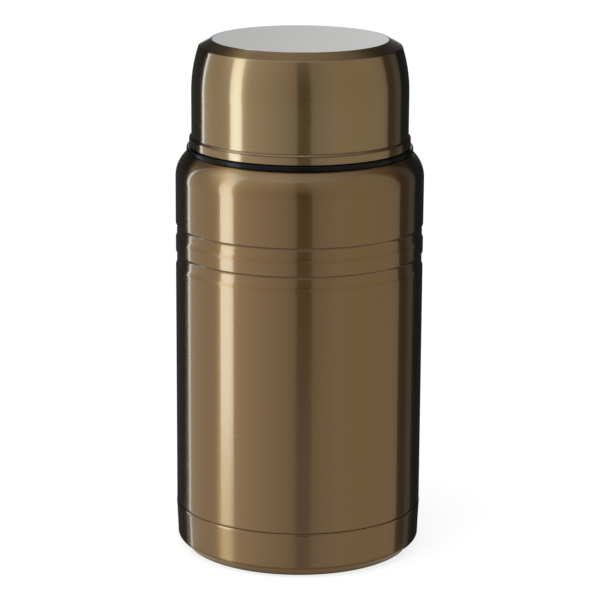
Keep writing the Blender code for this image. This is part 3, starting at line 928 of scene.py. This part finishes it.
def foot_card(name, left, right, left_levels, right_levels, tint):
    """Card on the table round the foot between two bearings, with levels given by radius in metres."""
    piece = shaded_grid(name, tint, left_levels, right_levels)
    for vertex in piece.data.vertices:
        bearing = math.radians(left + (right - left) * (vertex.co.x + 0.5))
        vertex.co = (vertex.co.y * math.sin(bearing), -vertex.co.y * math.cos(bearing), TABLE)


TABLE = -0.5 * MM

# Levels of light on the cards' edges, as (height in metres, level)
BLACK_LEFT = ((-1.2, 0.045), (0.2, 0.045), (0.5, 0.022), (1.6, 0.022), (2.2, 0.2))
BLACK_RIGHT = ((-1.2, 0.022), (1.6, 0.022), (2.2, 0.15))
STRIP = ((-1.2, 2.0), (-0.5, 2.1), (-0.35, 2.3), (-0.15, 3.1), (0.6, 3.1), (0.9, 1.1), (2.2, 0.6))
WALL = (
    *((-1.2, 0.72), (-0.55, 0.76), (-0.4, 0.88), (-0.1, 0.92)),
    *((0.1, 0.8), (0.7, 0.7), (1.1, 0.45), (2.2, 0.4)),
)
HIGH = (
    *((-1.2, 0.85), (-0.4, 0.84), (-0.1, 0.82), (0.3, 0.78)),
    *((0.7, 0.85), (1.1, 1.7), (1.6, 3.0), (2.2, 3.0)),
)
KEY_SIDE = ((-1.2, 0.8), (-0.4, 0.8), (-0.1, 0.82), (0.3, 0.9), (0.7, 1.5), (1.6, 2.4), (2.2, 2.2))
KEY = (
    *((-1.2, 0.8), (-0.62, 1.4), (-0.46, 2.9), (-0.38, 5.8), (-0.2, 5.6)),
    *((-0.05, 5.0), (0.15, 4.4), (0.6, 4), (1.0, 3.4), (2.2, 2.4)),
)
KEY_FRONT = ((-1.2, 1.2), (-0.6, 1.2), (-0.4, 1.28), (-0.1, 1.2), (0.1, 1.0), (0.8, 1.0), (2.2, 1.4))
FRONT = ((-1.2, 0.64), (-0.6, 0.62), (-0.4, 0.56), (-0.1, 0.52), (0.1, 0.4), (0.8, 0.4), (2.2, 0.6))
GAP = (
    *((-1.2, 0.58), (-0.5, 0.5), (-0.38, 0.41), (-0.34, 0.3), (-0.29, 0.22), (-0.2, 0.13)),
    *((-0.05, 0.06), (0.35, 0.04), (0.6, 0.13), (0.9, 0.3), (1.5, 0.36), (2.2, 0.45)),
)
RIGHT = ((-1.2, 0.82), (-0.6, 0.78), (-0.4, 0.74), (-0.1, 0.74), (0.1, 0.62), (0.8, 0.62), (2.2, 0.66))
RIGHT_END = ((-1.2, 0.64), (-0.4, 0.6), (0.3, 0.55), (0.9, 0.72), (1.6, 0.78), (2.2, 0.6))
RIGHT_GAP = ((-1.2, 0.12), (2.2, 0.1))
RIGHT_STRIP = ((-1.2, 0.17), (2.2, 0.18))
PALE_RIGHT = ((-0.2, 0.03), (0.2, 0.05), (0.3, 0.84), (0.62, 0.84))
PALE_LEFT = ((-0.2, 1.0), (0.2, 0.9), (0.3, 0.36), (0.62, 0.36))
# Levels on the table, as (radius in metres, level); the low levels inside the foot's radius are a painted
# contact shadow, which the foot's chamfer mirrors
FOOT_LEFT = ((0.03, 0.03), (0.0455, 0.05), (0.0465, 0.5), (0.056, 0.46))
FOOT_RIGHT = ((0.03, 0.03), (0.0455, 0.05), (0.0465, 0.3), (0.056, 0.3))

# Tints of the cards
WARM = (1.0, 0.96, 0.84)
AMBER = (1.0, 0.82, 0.6)
SAND = (1.0, 0.88, 0.66)
PALE_BLUE = (0.88, 1.0, 1.16)
DAYLIGHT = (0.83, 1.02, 1.17)

wall_card("back_left", -171, -115, BLACK_LEFT, BLACK_LEFT, away=1.62)
wall_card("left_strip", -124.4, -120.2, STRIP, STRIP, tint=PALE_BLUE, away=1.59, lean=1.5)
wall_card("left_wall", -120.6, -93, WALL, HIGH, tint=WARM)
wall_card("high_left", -93, -70, HIGH, KEY_SIDE)
wall_card("key_strip", -76.7, -62.3, KEY, KEY, tint=DAYLIGHT, away=1.58, lean=-2)
wall_card("front_left", -70, 4, KEY_FRONT, FRONT)
wall_card("front_right", 4, 40, FRONT, RIGHT)
wall_card("camera_gap", -2.2, 11.6, GAP, GAP, away=1.57, lean=-1.5)
wall_card("right_wall", 40, 108, RIGHT, RIGHT_END, tint=WARM)
wall_card("right_gap", 104.5, 119, RIGHT_GAP, RIGHT_GAP, tint=AMBER, away=1.59, lean=-3)
wall_card("right_strip", 108, 130.5, RIGHT_STRIP, RIGHT_STRIP, tint=WARM)
wall_card("back_right", 130.5, 171, BLACK_RIGHT, BLACK_RIGHT)
wall_card("backdrop", 171, 189, PALE_RIGHT, PALE_LEFT)
flat_card(
    "ceiling",
    4.0,
    2.2,
    ((-2, 2.4), (0.2, 1.2), (0.8, 0.35), (2, 0.3)),
    ((-2, 0.6), (0.2, 0.36), (0.8, 0.18), (2, 0.12)),
)
flat_card("studio_floor", 4.0, -1.2, ((-2, 0.5), (2, 0.4)), ((-2, 0.4), (2, 0.3)))
foot_card("table", -70, 70, FOOT_LEFT, FOOT_RIGHT, SAND)

bpy.ops.object.select_all(action="DESELECT")
bpy.ops.mesh.primitive_circle_add(vertices=96, radius=4.0, fill_type="NGON")
floor = bpy.context.object
floor.name = floor.data.name = "floor"
floor_material, floor_tree = new_material("white floor")
paper = add_node(floor_tree, "ShaderNodeBsdfDiffuse", {"Color": (0.3, 0.3, 0.3, 1)})
seen = add_node(floor_tree, "ShaderNodeLightPath")
lift = add_node(
    floor_tree, "ShaderNodeMath", {0: seen.outputs["Is Camera Ray"], 1: 0.77}, operation="MULTIPLY"
)
white = add_node(floor_tree, "ShaderNodeEmission", {"Color": (1, 1, 1, 1), "Strength": lift.outputs[0]})
both = add_node(floor_tree, "ShaderNodeAddShader", {0: paper.outputs[0], 1: white.outputs[0]})
add_node(floor_tree, "ShaderNodeOutputMaterial", {"Surface": both.outputs[0]})
floor.data.materials.append(floor_material)
# Just under the foot, so that the two faces don't share a plane
floor.location.z = -0.1 * MM
floor.visible_glossy = False

world = bpy.data.worlds.new("studio white")
bpy.context.scene.world = world
world.use_nodes = True
sky_tree = world.node_tree
sky_tree.nodes.clear()
path = add_node(sky_tree, "ShaderNodeLightPath")
shown = add_node(
    sky_tree,
    "ShaderNodeMath",
    {0: path.outputs["Is Camera Ray"], 1: path.outputs["Is Glossy Ray"]},
    operation="MAXIMUM",
)
clear = add_node(
    sky_tree,
    "ShaderNodeMath",
    {0: shown.outputs[0], 1: path.outputs["Is Transmission Ray"]},
    operation="MAXIMUM",
)
strength = add_node(
    sky_tree, "ShaderNodeMapRange", {"Value": clear.outputs[0], "To Min": 0.75, "To Max": 1.0}
)
sky = add_node(
    sky_tree, "ShaderNodeBackground", {"Color": (1, 1, 1, 1), "Strength": strength.outputs["Result"]}
)
add_node(sky_tree, "ShaderNodeOutputWorld", {"Surface": sky.outputs[0]})

lamp = bpy.data.lights.new("top_softbox", "AREA")
lamp.shape = "DISK"
lamp.size = 1.4
lamp.energy = 14
top_light = bpy.data.objects.new("top_softbox", lamp)
top_light.location = (-0.5, -0.6, 1.7)
top_light.rotation_euler = (Vector((0, 0, 0.1)) - top_light.location).to_track_quat("-Z", "Y").to_euler()
top_light.visible_glossy = False
bpy.context.scene.collection.objects.link(top_light)


# Camera at the photograph's angle

eye = bpy.data.cameras.new("camera")
eye.lens = 163.47
eye.sensor_width = 36
eye.shift_x = 0.00155
eye.shift_y = 0.00083
camera = bpy.data.objects.new("camera", eye)
camera.location = (0, -1.07467, 0.37415)
aim = (Vector((0, 0, 0.10168)) - camera.location).to_track_quat("-Z", "Y")
camera.rotation_euler = (aim.to_matrix() @ Matrix.Rotation(math.radians(0.3185), 3, "Z")).to_euler()
bpy.context.scene.collection.objects.link(camera)
bpy.context.scene.camera = camera
bpy.context.scene.view_settings.view_transform = "Standard"
